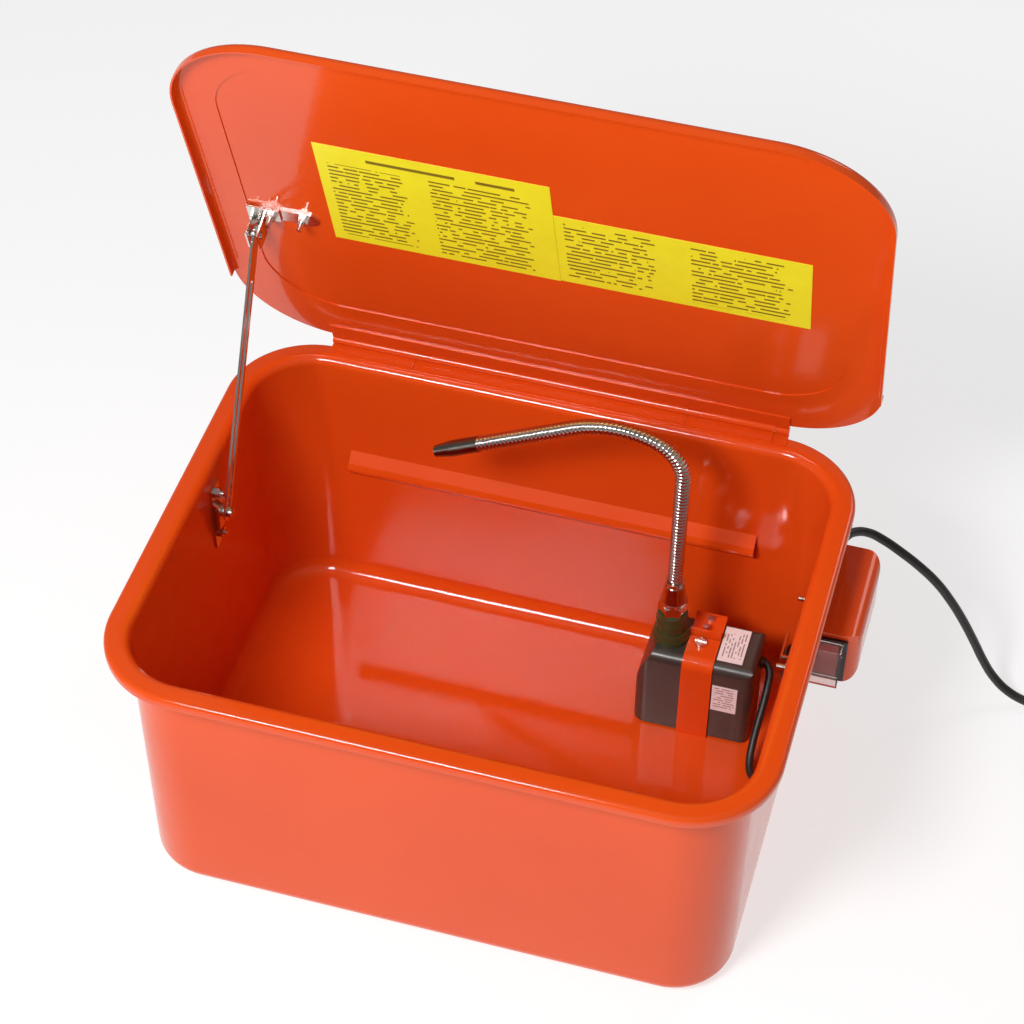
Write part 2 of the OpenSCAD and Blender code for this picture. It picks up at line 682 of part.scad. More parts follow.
module switch_bezel() color("#16161a") difference() {
    union() {
        translate([switch_x - bezel_w / 2, box_y0 - 2.2, switch_z - bezel_h / 2])
            cube([bezel_w, 2.2, bezel_h]);
        translate([switch_x - 9.3, box_y0 - 0.5, switch_z - 16.3]) cube([18.6, 22, 32.6]);
    }
    translate([switch_x - 8, box_y0 - 3, switch_z - 14.5]) cube([16, 14, 29]);
}

module switch_rocker() color("#b3261b") translate([switch_x, box_y0 + 4, switch_z]) rotate([-7, 0, 0])
    rotate([90, 0, 90]) translate([0, 0, -7.5]) linear_extrude(15) {
        polygon([[3, -11], [3, 11], [-7.2, 13], [-4.6, 0], [-7.2, -13]]);
        circle(4.5, $fn = 48);
    }

module switch_terminals() color("#b98c3a")
    for (x = [-5.4, 5.4], z = [-9, 9])
        translate([switch_x + x - 2.4, box_y0 + 21.5, switch_z + z - 0.4]) cube([4.8, 9, 0.8]);

module switch_boot() color("#d8c8c4", 0.4) difference() {
    translate([switch_x - 10, box_y0 - 11, switch_z - 17]) cube([20, 8.7, 34]);
    translate([switch_x - 9, box_y0 - 10, switch_z - 16]) cube([18, 10, 32]);
}

module cord_relief() color("#141414") translate([exit_x, 0, exit_z]) difference() {
    union() {
        translate([0, box_y1 + relief_l, 0]) rotate([90, 0, 0])
            cylinder(h = relief_l - 3, r1 = 4, r2 = 5, $fn = 48);
        translate([0, box_y1 + 3, 0]) rotate([90, 0, 0]) cylinder(h = 3, r = 5.6, $fn = 48);
        translate([0, box_y1 + 0.5, 0]) rotate([90, 0, 0]) cylinder(h = 4, r = 3.9, $fn = 48);
    }
    translate([0, box_y1 + relief_l - 1, 0]) rotate([90, 0, 0]) cylinder(h = 40, r = 2.6, $fn = 32);
}

// ---- mains lead -------------------------------------------------------------------------------

module power_cord() color("#1b1b1b") tube_along(cord_route, cord_r, 10);

module cord_coil() color("#1b1b1b") translate([coil_x, coil_y, coil_z])
    rotate_extrude($fn = 96)
        rounded(coil_mean_r - coil_cols * cord_r, 0, coil_mean_r + coil_cols * cord_r,
            coil_rows * cord_d, 2.5);

module cord_tie() color("#2a2a2a") difference() {
    half = coil_cols * cord_r;
    translate([coil_x - coil_mean_r - half - 0.9, coil_y - 5, 0])
        cube([2 * half + 1.8, 10, coil_rows * cord_d + coil_z + 0.9]);
    translate([coil_x - coil_mean_r - half + 0.6, coil_y - 6, coil_z])
        cube([2 * half - 1.2, 12, coil_rows * cord_d]);
    cord_coil();
}

module plug_lead() color("#1b1b1b") tube_along(plug_route, cord_r, 10);

module plug_body() color("#17171a") translate(plug_at) rotate([0, 0, plug_turn])
    rotate([0, 90, 0]) {
        cylinder(h = 20, r1 = 4.2, r2 = 5.6, $fn = 48);
        translate([0, 0, 19]) intersection() {
            cylinder(h = 22, r = 13, $fn = 64);
            translate([-8.9, -13, 0]) cube([17.8, 26, 22]);
        }
    }

module plug_pins() color("#c9a24a") translate(plug_at) rotate([0, 0, plug_turn]) {
    for (s = [-1, 1]) translate([41, s * 6.35 - 0.75, -1]) cube([17, 1.5, 6.3]);
    translate([41, 0, -4.6]) rotate([0, 90, 0]) cylinder(h = 19, r = 2.35, $fn = 32);
}

// ---- hose -------------------------------------------------------------------------------------

module hose_nut() color("#b8683c") translate([outlet_x, outlet_y, nut_z + 0.1]) difference() {
    intersection() {
        rotate([0, 0, 12]) hex(10.4, nut_h);
        rotate_extrude($fn = 96)
            polygon([[0, 0], [9.4, 0], [10.9, 1.2], [10.9, nut_h - 2.6], [8.8, nut_h], [0, nut_h]]);
    }
    translate([0, 0, -1]) cylinder(h = nut_h + 2, r = 4, $fn = 48);
}

module hose_ferrule() color("#b5b0a8") translate([outlet_x, outlet_y, ferrule_z + 0.1]) difference() {
    union() {
        cylinder(h = 2.5, r = 9.4, $fn = 64);
        translate([0, 0, 2.5]) cylinder(h = 14, r1 = 9.2, r2 = 6.7, $fn = 64);
        translate([0, 0, 16]) cylinder(h = ferrule_h - 16.2, r = 6.3, $fn = 64);
    }
    translate([0, 0, -1]) cylinder(h = ferrule_h + 2, r = 3, $fn = 48);
}

// a shape at the end of an arc of radius a about the origin, in the (x, z) plane, heading on from it
module at_arc(a, turn) translate([a * cos(turn), 0, a * sin(turn)]) rotate([0, -turn, 0]) children();
module arc_xz(a, turn0, turn1, r) rotate([90, 0, 0]) rotate([0, 0, turn0])
    rotate_extrude(angle = turn1 - turn0, $fn = 96) translate([a, 0]) circle(r, $fn = 48);

// the place on the hose's wide bend where its straight run begins
module at_run() translate([outlet_x - hose_bend_r, outlet_y, hose_up])
    at_arc(hose_bend_r - hose_sweep_r, hose_turn) rotate([0, hose_turn, 0])
        at_arc(hose_sweep_r, hose_turn + sweep_turn) children();

// the hose's line: up, round a tight bend, over a wide one and down; a crimped ring hides each join
module hose_line(r) {
    rod_z(outlet_x, outlet_y, bend_z, hose_up, r);
    translate([outlet_x - hose_bend_r, outlet_y, hose_up]) {
        arc_xz(hose_bend_r, 0, hose_turn, r);
        at_arc(hose_bend_r, hose_turn) rod_z(0, 0, -1, 1, r + 0.2);
        at_arc(hose_bend_r - hose_sweep_r, hose_turn) rotate([0, hose_turn, 0])
            arc_xz(hose_sweep_r, hose_turn, hose_turn + sweep_turn, r);
    }
    at_run() {
        rod_z(0, 0, -1, 1, r + 0.2);
        rod_z(0, 0, 0, hose_run, r);
    }
}

module hose_flex() color("#a9a6a1") difference() {
    union() {
        translate([outlet_x, outlet_y, bend_z]) sphere(hose_r + 0.15, $fn = 48);
        hose_line(hose_r);
    }
    rod_z(outlet_x, outlet_y, bend_z - 10, bend_z + 10, bore_r);
    hose_line(bore_r);
}

module hose_nozzle() color("#55514c") at_run() translate([0, 0, hose_run + 0.05]) difference() {
    union() {
        cylinder(h = 21, r = 5.6, $fn = 64);
        translate([0, 0, 21]) cylinder(h = 11, r1 = 5.6, r2 = 4.3, $fn = 64);
        translate([0, 0, 31]) cylinder(h = 3, r = 4.1, $fn = 64);
    }
    translate([0, 0, -1]) cylinder(h = 40, r = 1.6, $fn = 32);
}

tub_walls();
tub_floor();
tub_rim();
rear_shelf_rail();
hinge_leaf_tub();
hinge_pin();
stay_bracket_lower();
stay_bracket_screws();
stay_bracket_nuts();
pump_housing();
pump_end_cap();
pump_outlet_collar();
pump_stator();
pump_intake_screen();
pump_strap_front();
pump_strap_rear();
pump_strap_screws();
pump_labels();
pump_lead();
pump_lead_boss();
lead_bracket();
lead_bracket_screw();
wall_grommet();
switch_box();
switch_box_studs();
switch_box_nuts();
switch_bezel();
switch_rocker();
switch_boot();
switch_terminals();
cord_relief();
power_cord();
cord_coil();
cord_tie();
plug_lead();
plug_body();
plug_pins();
lid();
hinge_leaf_lid();
lid_labels();
stay_bracket_upper();
lid_bracket_screws();
lid_bracket_nuts();
fusible_link();
stay_pivot_screw();
stay_pivot_nut();
stay_arm();
hose_nut();
hose_ferrule();
hose_flex();
hose_nozzle();
pump_rotor();
pump_impeller();
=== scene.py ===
"""Looks of the bench-top parts washer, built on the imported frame. Metres, +X right, +Y back, +Z up."""
import math

import bpy
from mathutils import Matrix, Vector


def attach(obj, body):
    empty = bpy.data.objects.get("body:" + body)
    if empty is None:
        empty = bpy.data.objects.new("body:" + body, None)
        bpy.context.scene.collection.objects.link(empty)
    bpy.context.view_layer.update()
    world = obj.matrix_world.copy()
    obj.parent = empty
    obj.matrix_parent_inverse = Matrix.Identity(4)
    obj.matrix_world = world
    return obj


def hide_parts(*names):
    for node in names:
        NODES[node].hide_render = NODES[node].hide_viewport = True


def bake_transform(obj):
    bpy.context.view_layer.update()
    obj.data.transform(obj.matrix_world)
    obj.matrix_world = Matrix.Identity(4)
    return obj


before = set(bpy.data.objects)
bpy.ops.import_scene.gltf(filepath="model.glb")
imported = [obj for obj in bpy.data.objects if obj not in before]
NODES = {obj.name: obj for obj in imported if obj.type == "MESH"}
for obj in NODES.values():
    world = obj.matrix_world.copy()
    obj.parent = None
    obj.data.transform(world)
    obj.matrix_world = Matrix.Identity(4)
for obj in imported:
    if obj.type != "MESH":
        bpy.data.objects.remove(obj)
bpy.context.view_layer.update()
MM = 0.001


# ---- camera, floor and light -------------------------------------------------------------------

def link(obj):
    bpy.context.scene.collection.objects.link(obj)
    return obj


def make_camera():
    azimuth, elevation, roll = (math.radians(d) for d in (15.28, 47.16, 0.86))
    back = Vector((math.sin(azimuth) * math.cos(elevation), -math.cos(azimuth) * math.cos(elevation),
                   math.sin(elevation)))
    level = Vector((math.cos(azimuth), math.sin(azimuth), 0))
    over = back.cross(level)
    right = math.cos(roll) * level + math.sin(roll) * over
    up = -math.sin(roll) * level + math.cos(roll) * over
    data = bpy.data.cameras.new("camera")
    data.sensor_width, data.lens = 36, 95.25
    data.shift_x, data.shift_y = -0.00585, 0.0373
    data.clip_start, data.clip_end = 0.05, 50
    camera = link(bpy.data.objects.new("camera", data))
    camera.matrix_world = Matrix.Translation((0.33193, -1.1434, 1.50905)) @ Matrix(
        (right, up, back)).transposed().to_4x4()
    bpy.context.scene.camera = camera


def area_light(name, place, target, size, power):
    data = bpy.data.lights.new(name, "AREA")
    data.shape, data.size, data.size_y = "RECTANGLE", size[0], size[1]
    data.energy = power
    lamp = link(bpy.data.objects.new(name, data))
    lamp.location = place
    lamp.rotation_mode = "QUATERNION"
    lamp.rotation_quaternion = (Vector(target) - Vector(place)).to_track_quat("-Z", "Y")


def make_studio():
    """A bright pale floor that also lights the walls, one softbox near the camera and two fills."""
    mesh = bpy.data.meshes.new("studio_floor")
    half = 6
    corners = [(-half, -half, 0), (half, -half, 0), (half, half, 0), (-half, half, 0)]
    mesh.from_pydata(corners, [], [(0, 1, 2, 3)])
    floor = link(bpy.data.objects.new("studio_floor", mesh))
    floor.location.z = -0.0002
    mat = bpy.data.materials.new("studio_floor")
    mat.use_nodes = True
    bsdf = mat.node_tree.nodes["Principled BSDF"]
    bsdf.inputs["Base Color"].default_value = (0.42, 0.42, 0.42, 1)
    bsdf.inputs["Roughness"].default_value = 0.9
    bsdf.inputs["Specular IOR Level"].default_value = 0.1
    bsdf.inputs["Emission Color"].default_value = (1, 1, 1, 1)
    bsdf.inputs["Emission Strength"].default_value = 0.66
    mesh.materials.append(mat)
    world = bpy.data.worlds.new("studio")
    world.use_nodes = True
    world.node_tree.nodes["Background"].inputs["Color"].default_value = (1, 1, 1, 1)
    world.node_tree.nodes["Background"].inputs["Strength"].default_value = 0.2
    bpy.context.scene.world = world
    area_light("key", (-0.37, -1.095, 1.484), (0, 0, 0.1), (0.47, 0.39), 25)
    area_light("top", (-0.1, -0.25, 1.95), (0, 0, 0.1), (0.9, 0.6), 0.5)
    area_light("left_fill", (-1.6, -1.3, 0.6), (0, 0, 0.1), (0.8, 0.8), 2)
    area_light("back_fill", (0.9, 1.4, 1.3), (0.1, 0, 0.1), (0.6, 0.6), 4)


make_camera()
make_studio()
bpy.context.scene.view_settings.view_transform = "Standard"


# ---- mesh helpers ------------------------------------------------------------------------------

def smooth(t):
    t = min(max(t, 0), 1)
    return t * t * (3 - 2 * t)


def mesh_object(name, points, faces, material, sharp):
    """Points in millimetres; faces meeting at more than sharp degrees keep a crisp edge."""
    data = bpy.data.meshes.new(name)
    data.from_pydata([Vector(p) * MM for p in points], [], faces)
    data.materials.append(material)
    for polygon in data.polygons:
        polygon.use_smooth = True
    data.set_sharp_from_angle(angle=math.radians(sharp))
    data.validate()
    return link(bpy.data.objects.new(name, data))


def loft(rings):
    """Points and faces of a skin over closed rings of equal length."""
    n = len(rings[0])
    points = [p for ring in rings for p in ring]
    faces = []
    for i in range(len(rings) - 1):
        a, b = i * n, (i + 1) * n
        faces += [(a + k, a + (k + 1) % n, b + (k + 1) % n, b + k) for k in range(n)]
    return points, faces


def tube(name, points, diameter, material):
    data = bpy.data.curves.new(name, "CURVE")
    data.dimensions = "3D"
    data.bevel_depth, data.bevel_resolution = diameter / 2, 5
    data.resolution_u = 6
    data.use_fill_caps = True
    spline = data.splines.new("BEZIER")
    spline.bezier_points.add(len(points) - 1)
    for point, place in zip(spline.bezier_points, points):
        point.co = Vector(place) * MM
        point.handle_left_type = point.handle_right_type = "AUTO"
    data.materials.append(material)
    return link(bpy.data.objects.new(name, data))


# ---- materials ---------------------------------------------------------------------------------

class Graph:
    """A material's nodes, with short calls for the few kinds used here."""

    def __init__(self, name, metallic=0.0, roughness=0.4, **inputs):
        self.material = bpy.data.materials.new(name)
        self.material.use_nodes = True
        self.tree = self.material.node_tree
        self.bsdf = self.tree.nodes["Principled BSDF"]
        self.bsdf.inputs["Metallic"].default_value = metallic
        self.bsdf.inputs["Roughness"].default_value = roughness
        for key, value in inputs.items():
            self.bsdf.inputs[key.replace("_", " ")].default_value = value
        self.place = self.tree.nodes.new("ShaderNodeTexCoord").outputs["Object"]

    def put(self, socket, value):
        if isinstance(value, bpy.types.NodeSocket):
            self.tree.links.new(value, socket)
        else:
            socket.default_value = value

    def turned(self, location=(0, 0, 0), rotation=(0, 0, 0), scale=(1, 1, 1)):
        node = self.tree.nodes.new("ShaderNodeMapping")
        node.inputs["Location"].default_value = location
        node.inputs["Rotation"].default_value = rotation
        node.inputs["Scale"].default_value = scale
        self.put(node.inputs["Vector"], self.place)
        return node.outputs["Vector"]

    def noise(self, scale, detail=2.0, vector=None):
        node = self.tree.nodes.new("ShaderNodeTexNoise")
        node.inputs["Scale"].default_value = scale
        node.inputs["Detail"].default_value = detail
        self.put(node.inputs["Vector"], vector or self.place)
        return node.outputs["Fac"]

    def spread(self, fac, low, high):
        """Stretch a noise's middle range over low to high."""
        node = self.tree.nodes.new("ShaderNodeMapRange")
        limits = {"Value": fac, "From Min": 0.3, "From Max": 0.7, "To Min": low, "To Max": high}
        for key, value in limits.items():
            self.put(node.inputs[key], value)
        return node.outputs["Result"]

    def math(self, operation, a, b=0.0):
        node = self.tree.nodes.new("ShaderNodeMath")
        node.operation = operation
        self.put(node.inputs[0], a)
        self.put(node.inputs[1], b)
        return node.outputs["Value"]

    def parts(self, vector):
        node = self.tree.nodes.new("ShaderNodeSeparateXYZ")
        self.put(node.inputs["Vector"], vector)
        return [node.outputs[k] for k in "XYZ"]

    def mix(self, fac, one, two):
        node = self.tree.nodes.new("ShaderNodeMix")
        node.data_type = "RGBA"
        self.put(node.inputs["Factor"], fac)
        for socket, value in ((node.inputs[6], one), (node.inputs[7], two)):
            self.put(socket, value if isinstance(value, bpy.types.NodeSocket) else (*value, 1))
        return node.outputs[2]

    def colour(self, value):
        self.put(self.bsdf.inputs["Base Color"], value)

    def rough(self, value):
        self.put(self.bsdf.inputs["Roughness"], value)

    def bump(self, height, distance):
        node = self.tree.nodes.new("ShaderNodeBump")
        node.inputs["Strength"].default_value = 1.0
        node.inputs["Distance"].default_value = distance
        self.put(node.inputs["Height"], height)
        self.put(self.bsdf.inputs["Normal"], node.outputs["Normal"])
        if self.bsdf.inputs["Coat Weight"].default_value > 0:
            self.put(self.bsdf.inputs["Coat Normal"], node.outputs["Normal"])


def paint(name):
    """Glossy orange-red powder coat with a faint orange peel and slow changes of gloss."""
    g = Graph(name, Coat_Weight=0.75, Coat_Roughness=0.07, Coat_IOR=1.5, Specular_IOR_Level=0.03)
    slow = g.noise(7, 3)
    light, deep = (0.79, 0.083, 0.007), (0.74, 0.071, 0.006)
    g.colour(g.mix(g.spread(slow, 0, 1), light, deep))
    g.rough(g.spread(g.noise(38, 3), 0.3, 0.42))
    g.bump(g.math("ADD", g.noise(260, 2), g.math("MULTIPLY", g.noise(900, 1), 0.35)), 0.00005)
    return g.material


def metal(name, colour, dark, roughness, grain=160, brushed=None, bump=0.000003):
    """Plated or turned metal; brushed stretches the grain along one axis."""
    g = Graph(name, metallic=1.0)
    vector = g.turned(scale=brushed) if brushed else g.place
    fine = g.noise(grain, 4, vector)
    g.colour(g.mix(g.spread(g.noise(24, 4), 0, 1), colour, dark))
    g.rough(g.spread(fine, roughness * 0.7, roughness * 1.35))
    g.bump(fine, bump)
    return g.material


def plastic(name, colour, worn, roughness, grain=1400, depth=0.00006, **inputs):
    """Moulded plastic or vinyl with a fine grain and slightly polished patches."""
    g = Graph(name, **inputs)
    g.colour(g.mix(g.spread(g.noise(30, 4), 0, 1), colour, worn))
    g.rough(g.spread(g.noise(60, 3), roughness * 0.85, roughness * 1.2))
    g.bump(g.noise(grain, 2), depth)
    return g.material


def dash_rows(g, u, v, u0, u1, v0, v1, pitch, seed):
    """1 on rows of short dashes of uneven length between the limits, 0 elsewhere; it spells nothing."""
    row = g.math("FLOOR", g.math("DIVIDE", v, pitch))
    across = g.math("FRACT", g.math("DIVIDE", v, pitch))
    bar = g.math("LESS_THAN", g.math("ABSOLUTE", g.math("SUBTRACT", across, 0.5)), 0.2)
    joined = g.tree.nodes.new("ShaderNodeCombineXYZ")
    g.put(joined.inputs["X"], g.math("MULTIPLY", u, 0.252 / pitch))
    g.put(joined.inputs["Y"], g.math("MULTIPLY", row, 7.31))
    joined.inputs["Z"].default_value = seed
    broken = g.math("GREATER_THAN", g.noise(2.6, 1, joined.outputs["Vector"]), 0.44)
    ragged = g.tree.nodes.new("ShaderNodeCombineXYZ")
    g.put(ragged.inputs["Y"], g.math("MULTIPLY", row, 3.7))
    ragged.inputs["Z"].default_value = seed + 5
    short = g.math("MULTIPLY", g.noise(1.9, 0, ragged.outputs["Vector"]), (u1 - u0) * 0.3)
    end = g.math("SUBTRACT", u1, short)
    mask = g.math("MULTIPLY", bar, broken)
    limits = (("GREATER_THAN", u, u0), ("LESS_THAN", u, end), ("GREATER_THAN", v, v0), ("LESS_THAN", v, v1))
    for test, a, b in limits:
        mask = g.math("MULTIPLY", mask, g.math(test, a, b))
    return mask


# the hinge's axis and how far the lid stands open
HINGE = (0, 0.1707, 0.217)
LID_OPEN = 71.3
# printed columns on the lid's labels: u from and to, v from and to, height of a row
LID_HEADING = (-0.108, 0.004, -0.2475, -0.2405, 0.0088)
LID_COLUMNS = [
    (-0.134, -0.078, -0.233, -0.149, 0.0042), (-0.068, 0.004, -0.236, -0.148, 0.0042),
    (0.017, 0.082, -0.215, -0.150, 0.0044), (0.098, 0.168, -0.215, -0.148, 0.0044)]


def lid_label(name):
    """Yellow film with four columns of plain dashes and a heading bar.

    u runs along the lid and v from its front edge to the hinge, with the lid laid shut.
    """
    g = Graph(name, roughness=0.35, Coat_Weight=0.3, Coat_Roughness=0.2)
    turn = math.radians(LID_OPEN)
    back = Matrix.Rotation(turn, 4, "X")
    shift = -(back @ Vector(HINGE))
    u, v, _ = g.parts(g.turned(shift, (turn, 0, 0)))
    mask = dash_rows(g, u, v, *LID_HEADING, 21.0)
    for k, column in enumerate(LID_COLUMNS):
        mask = g.math("MAXIMUM", mask, dash_rows(g, u, v, *column, 3.0 * k))
    film = g.mix(g.spread(g.noise(40, 3), 0, 1), (0.92, 0.86, 0.024), (0.88, 0.80, 0.020))
    g.colour(g.mix(g.math("MULTIPLY", mask, 0.86), film, (0.10, 0.045, 0.01)))
    g.bump(g.noise(500, 2), 0.00001)
    return g.material


# rows on the pump's labels: along from and to, across from and to, height of a row
PUMP_TOP_ROWS = (0.081, 0.108, 0.1455, 0.1595, 0.0021)
PUMP_FRONT_ROWS = (0.1445, 0.1605, 0.035, 0.0575, 0.0024)


def pump_label(name):
    """White film with plain grey dashes, on the pump's top and front."""
    g = Graph(name, roughness=0.4, Coat_Weight=0.2)
    x, y, z = g.parts(g.place)
    top = dash_rows(g, y, x, *PUMP_TOP_ROWS, 2.0)
    front = dash_rows(g, x, z, *PUMP_FRONT_ROWS, 9.0)
    is_top = g.math("GREATER_THAN", z, 0.07)
    is_front = g.math("SUBTRACT", 1.0, is_top)
    mask = g.math("ADD", g.math("MULTIPLY", top, is_top), g.math("MULTIPLY", front, is_front))
    film = g.mix(g.spread(g.noise(60, 3), 0, 1), (0.92, 0.90, 0.90), (0.88, 0.84, 0.85))
    g.colour(g.mix(g.math("MULTIPLY", mask, 0.8), film, (0.16, 0.10, 0.10)))
    g.bump(g.noise(700, 2), 0.00001)
    return g.material


painted = paint("painted")
zinc = metal("zinc", (0.72, 0.71, 0.68), (0.66, 0.65, 0.62), 0.16, grain=320)
zinc_brushed = metal("zinc_brushed", (0.74, 0.73, 0.70), (0.68, 0.67, 0.64), 0.17, grain=90,
                     brushed=(12, 1, 1))
chrome = metal("hose_chrome", (0.62, 0.58, 0.54), (0.55, 0.51, 0.47), 0.15, grain=240)
nozzle_dark = metal("nozzle_dark", (0.30, 0.27, 0.24), (0.20, 0.18, 0.16), 0.2, grain=300)
brass = metal("brass", (0.80, 0.56, 0.24), (0.66, 0.44, 0.17), 0.25)
copper = metal("copper", (0.62, 0.27, 0.12), (0.46, 0.18, 0.08), 0.35, grain=600,
               brushed=(1, 8, 1), bump=0.00004)
rotor_steel = metal("rotor", (0.42, 0.42, 0.44), (0.33, 0.33, 0.35), 0.3, brushed=(1, 10, 10))
pump_grey = plastic("pump_grey", (0.046, 0.045, 0.038), (0.038, 0.037, 0.033), 0.33,
                    Coat_Weight=0.35, Coat_Roughness=0.2)
collar_green = plastic("collar_green", (0.060, 0.070, 0.020), (0.045, 0.052, 0.016), 0.36)
impeller_white = plastic("impeller", (0.72, 0.69, 0.62), (0.66, 0.62, 0.55), 0.45)
black_plastic = plastic("black_plastic", (0.016, 0.015, 0.016), (0.024, 0.022, 0.022), 0.38)
cord_black = plastic("cord_black", (0.014, 0.014, 0.013), (0.022, 0.021, 0.02), 0.42,
                     grain=2200, depth=0.00003)
rocker_red = plastic("rocker_red", (0.42, 0.022, 0.012), (0.36, 0.018, 0.011), 0.2,
                     Coat_Weight=0.6, Coat_Roughness=0.08)
boot_clear = plastic("boot_clear", (0.96, 0.86, 0.84), (0.93, 0.80, 0.78), 0.12, grain=300, depth=0.00004,
                     Transmission_Weight=0.97, IOR=1.2)
label_yellow = lid_label("label_yellow")
label_white = pump_label("label_white")

LOOKS = {
    "rear_shelf_rail": painted, "hinge_leaf_tub": painted, "hinge_leaf_lid": painted, "lid": painted,
    "pump_strap_front": painted, "pump_strap_rear": painted, "switch_box": painted,
    "hinge_pin": zinc, "stay_bracket_lower": zinc, "stay_bracket_screws": zinc, "stay_bracket_nuts": zinc,
    "pump_strap_screws": zinc, "lead_bracket": zinc, "lead_bracket_screw": zinc, "switch_box_studs": zinc,
    "switch_box_nuts": zinc, "stay_bracket_upper": zinc, "lid_bracket_screws": zinc, "lid_bracket_nuts": zinc,
    "fusible_link": zinc, "stay_pivot_screw": zinc, "stay_pivot_nut": zinc, "stay_arm": zinc_brushed,
    "pump_housing": pump_grey, "pump_end_cap": pump_grey, "pump_outlet_collar": collar_green,
    "pump_stator": copper, "pump_intake_screen": black_plastic, "pump_lead_boss": black_plastic,
    "wall_grommet": black_plastic, "switch_bezel": black_plastic, "cord_relief": black_plastic,
    "cord_tie": black_plastic, "plug_body": black_plastic, "switch_rocker": rocker_red,
    "switch_boot": boot_clear, "switch_terminals": brass, "plug_pins": brass, "hose_nut": chrome,
    "hose_ferrule": chrome, "hose_nozzle": nozzle_dark, "pump_rotor": rotor_steel,
    "pump_impeller": impeller_white, "lid_labels": label_yellow, "pump_labels": label_white}
for node, material in LOOKS.items():
    for material_slot in NODES[node].material_slots:
        material_slot.material = material


# ---- cords: the routes are those of the part, in millimetres -----------------------------------

CORD_D = 0.0065
CORD_ROUTE = [
    (211, 133, 147), (211, 143, 147), (213, 153, 146), (218.6, 161.4, 143.5), (227, 167, 139),
    (237, 169, 133), (250, 169, 125), (265, 169, 114), (279, 169, 101), (291, 168.5, 86),
    (302, 168, 69), (312, 167.5, 51), (321, 167, 34), (331, 166, 19.5), (343, 164.5, 9.5),
    (357, 163, 4.6), (372, 161.5, 3.6), (388, 160.5, 3.6), (403, 160, 3.6), (418, 160, 3.9)]
PLUG_ROUTE = [
    (418, 160, 10.5), (432, 157.5, 12), (445, 150.5, 14.5), (454.5, 139, 16.4), (460, 125, 17),
    (460, 110, 17), (456, 98, 17), (451, 88.5, 16.8), (446, 79, 15), (442.5, 69, 12),
    (441, 58, 10), (441, 47, 9)]
COIL_X, COIL_Y, COIL_R, COIL_LOW = 418, 117.5, 36, 3.95
LEAD_D = 0.0055
LEAD_ROUTE = [
    (171, 100, 58), (175, 99.7, 57.5), (178.2, 96.5, 54), (179, 89, 47), (178.6, 79, 37),
    (177.6, 69, 27), (177, 59, 17.5), (177.5, 49, 10), (180, 41, 7.5), (184.5, 35.5, 9.5),
    (189.5, 33, 18), (193, 33, 32), (195.5, 34, 52), (196.5, 35.5, 76), (196.6, 37.5, 100),
    (196.4, 40, 122), (196.4, 41.5, 136), (197.4, 42, 144.5), (200.3, 42, 149.4), (204, 42, 150)]


def coil_points():
    """Six turns: three inwards on the bench, three outwards on top of them."""
    per_turn, pitch = 20, CORD_D / MM
    columns, layers = [0, 1, 2, 2, 1, 0, 0], [0, 0, 0, 1, 1, 1, 1]
    points = []
    for k in range(1, 6 * per_turn):
        turn = k / per_turn
        i = int(turn)
        shift = smooth((turn - i - 0.75) / 0.25)
        column = columns[i] + (columns[i + 1] - columns[i]) * shift
        layer = layers[i] + (layers[i + 1] - layers[i]) * shift
        radius = COIL_R + pitch * (1 - column)
        angle = math.radians(90 - 360 * turn)
        points.append((COIL_X + radius * math.cos(angle), COIL_Y + radius * math.sin(angle),
                       COIL_LOW + pitch * layer))
    return points


power_cord = tube("power_cord_visual", CORD_ROUTE + coil_points() + PLUG_ROUTE, CORD_D, cord_black)
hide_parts("power_cord", "cord_coil", "plug_lead")
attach(power_cord, "tank")

pump_lead = tube("pump_lead_visual", LEAD_ROUTE, LEAD_D, cord_black)
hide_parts("pump_lead")
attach(pump_lead, "tank")


# ---- tub ---------------------------------------------------------------------------------------

def arc(cx, cz, r, a0, a1, steps):
    """Points in (radius, height) on an arc, angles in degrees."""
    angles = [math.radians(a0 + (a1 - a0) * k / steps) for k in range(steps + 1)]
    return [(cx + r * math.cos(a), cz + r * math.sin(a)) for a in angles]


# the tub's sizes, the same as in the part
SHEET, DRAFT, TUB_H = 1.2, 2.0, 213.0
RIM_R, RIM_W, LIP_H = 60.0, 17.0, 7.5
FLOOR_R, RIM_BEND, LIP_BEND = 13.0, 6.5, 3.5
CORNERS = [(160, 109), (-160, 109), (-160, -109), (160, -109)]


def tub_section():
    """The pressed sheet's section, from the inside of the floor up over the rim and back down outside.

    Radii are measured from a corner's centre.
    """
    top_r = RIM_R - RIM_W
    foot_r = top_r - DRAFT
    flat_r = foot_r + SHEET - FLOOR_R
    top_z = TUB_H - RIM_BEND
    lean = [(foot_r + DRAFT * k / 8, FLOOR_R + (top_z - FLOOR_R) * k / 8) for k in range(1, 8)]
    rim_x, lip_x, lip_z = top_r + RIM_BEND, RIM_R - LIP_BEND, TUB_H - LIP_BEND
    inside = arc(flat_r, FLOOR_R, FLOOR_R - SHEET, -90, 0, 14) + lean
    inside += arc(rim_x, top_z, RIM_BEND, 180, 90, 12) + arc(lip_x, lip_z, LIP_BEND, 90, 0, 12)
    lip = arc(RIM_R - SHEET / 2, TUB_H - LIP_H + SHEET / 2, SHEET / 2, 0, -180, 6)
    outside = arc(lip_x, lip_z, LIP_BEND - SHEET, 0, 90, 7)
    outside += arc(rim_x, top_z, RIM_BEND - SHEET, 90, 180, 8)
    outside += [(r + SHEET, z) for r, z in reversed(lean)]
    outside += arc(flat_r, FLOOR_R, FLOOR_R, 0, -90, 12)
    return [(flat_r - 3, SHEET)] + inside + lip + outside + [(flat_r - 3, 0)]


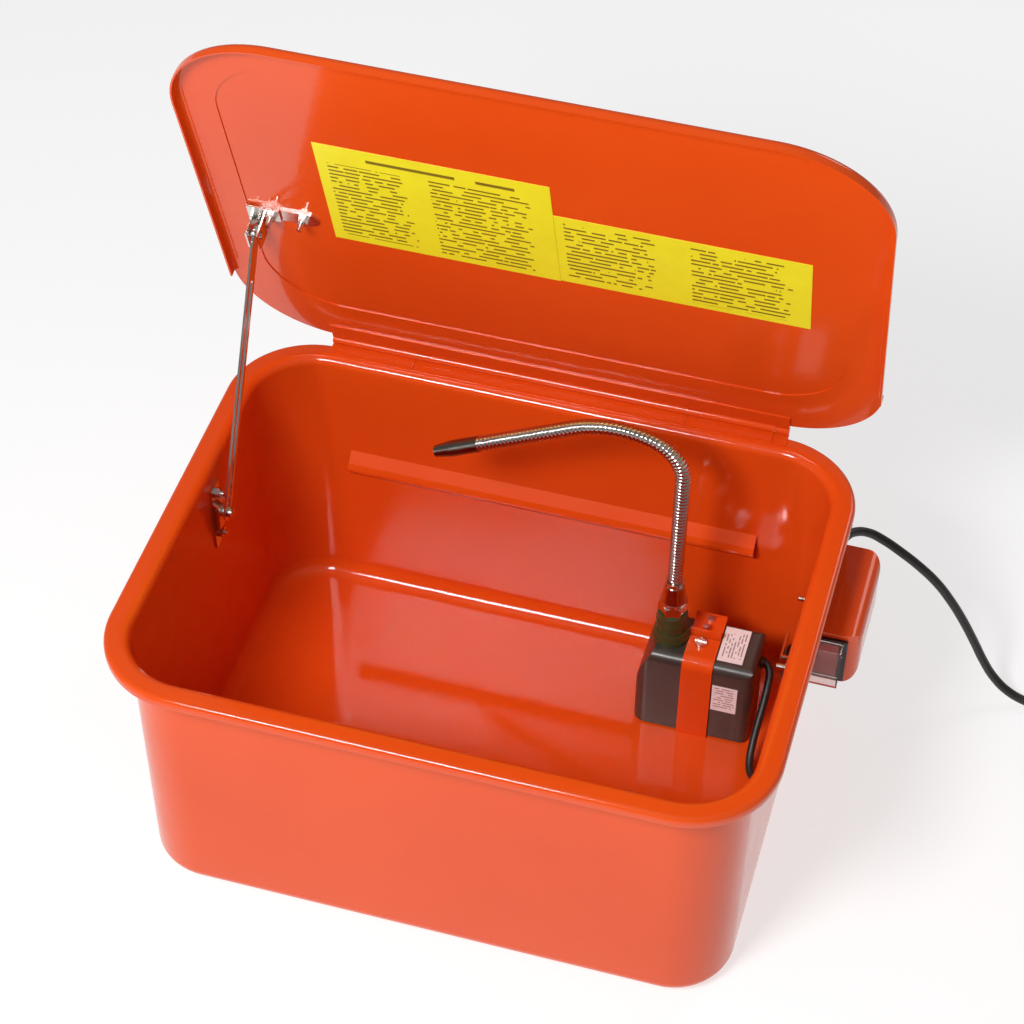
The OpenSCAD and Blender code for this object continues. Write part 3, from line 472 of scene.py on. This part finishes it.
def make_tub():
    """The section swept round the tank's four corner centres, with a flat floor let into it."""
    corner_steps, side_steps = 24, 12
    stations = []
    for k, (cx, cy) in enumerate(CORNERS):
        for step in range(corner_steps + 1):
            stations.append((cx, cy, math.radians(90 * k + 90 * step / corner_steps)))
        nx, ny = CORNERS[(k + 1) % 4]
        for step in range(1, side_steps):
            t = step / side_steps
            stations.append((cx + (nx - cx) * t, cy + (ny - cy) * t, math.radians(90 * (k + 1))))
    rings = [[(cx + r * math.cos(a), cy + r * math.sin(a), z) for r, z in tub_section()]
             for cx, cy, a in stations]
    n = len(rings[0])
    points = [p for ring in rings for p in ring]
    faces = []
    for i in range(len(rings)):
        a, b = i * n, (i + 1) % len(rings) * n
        faces += [(a + k, b + k, b + k + 1, a + k + 1) for k in range(n - 1)]
    faces.append([i * n for i in range(len(rings))])
    faces.append([i * n + n - 1 for i in range(len(rings))][::-1])
    tub = mesh_object("tub_visual", points, faces, painted, sharp=50)
    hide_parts("tub_walls", "tub_floor", "tub_rim")
    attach(tub, "tank")


make_tub()


# ---- hose --------------------------------------------------------------------------------------

# the hose's thickness, its foot inside the ferrule, and its stretches: length and bend radius
HOSE_R = 5.3
HOSE_X, HOSE_Y, HOSE_Z = 107.0, 90.0, 129.0
TIGHT_R, WIDE_R = 32.0, 70.0
HOSE_RUNS = [(103.0, None), (math.radians(70) * TIGHT_R, TIGHT_R), (math.radians(47) * WIDE_R, WIDE_R),
             (71.5, None)]


def hose_stations(step):
    """(x, z, heading) along the hose's middle: up, round a tight bend, over a wide one and straight on."""
    stations, x, z, heading = [], HOSE_X, HOSE_Z, 90.0
    for length, radius in HOSE_RUNS:
        count = round(length / step)
        for _ in range(count):
            stations.append((x, z, math.radians(heading)))
            part = length / count
            turn = 0 if radius is None else math.degrees(part / radius)
            middle = math.radians(heading + turn / 2)
            x += part * math.cos(middle)
            z += part * math.sin(middle)
            heading += turn
    stations.append((x, z, math.radians(heading)))
    return stations


def make_hose():
    """Strip-wound metal hose: a helix of rounded turns with a narrow groove between them."""
    step, pitch, sides, depth = 0.34, 3.0, 28, 0.85
    rings = []
    for i, (x, z, heading) in enumerate(hose_stations(step)):
        ring = []
        for k in range(sides):
            angle = 2 * math.pi * k / sides
            phase = (i * step / pitch - k / sides) % 1.0
            groove = abs(phase - 0.5) * 2
            r = HOSE_R - depth * smooth((groove - 0.35) / 0.6)
            side = r * math.cos(angle)
            ring.append((x - side * math.sin(heading), HOSE_Y + r * math.sin(angle),
                         z + side * math.cos(heading)))
        rings.append(ring)
    points, faces = loft(rings)
    last = len(points) - sides
    faces += [tuple(range(sides))[::-1], tuple(range(last, last + sides))]
    hose = mesh_object("hose_visual", points, faces, chrome, sharp=80)
    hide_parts("hose_flex")
    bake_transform(hose)


make_hose()
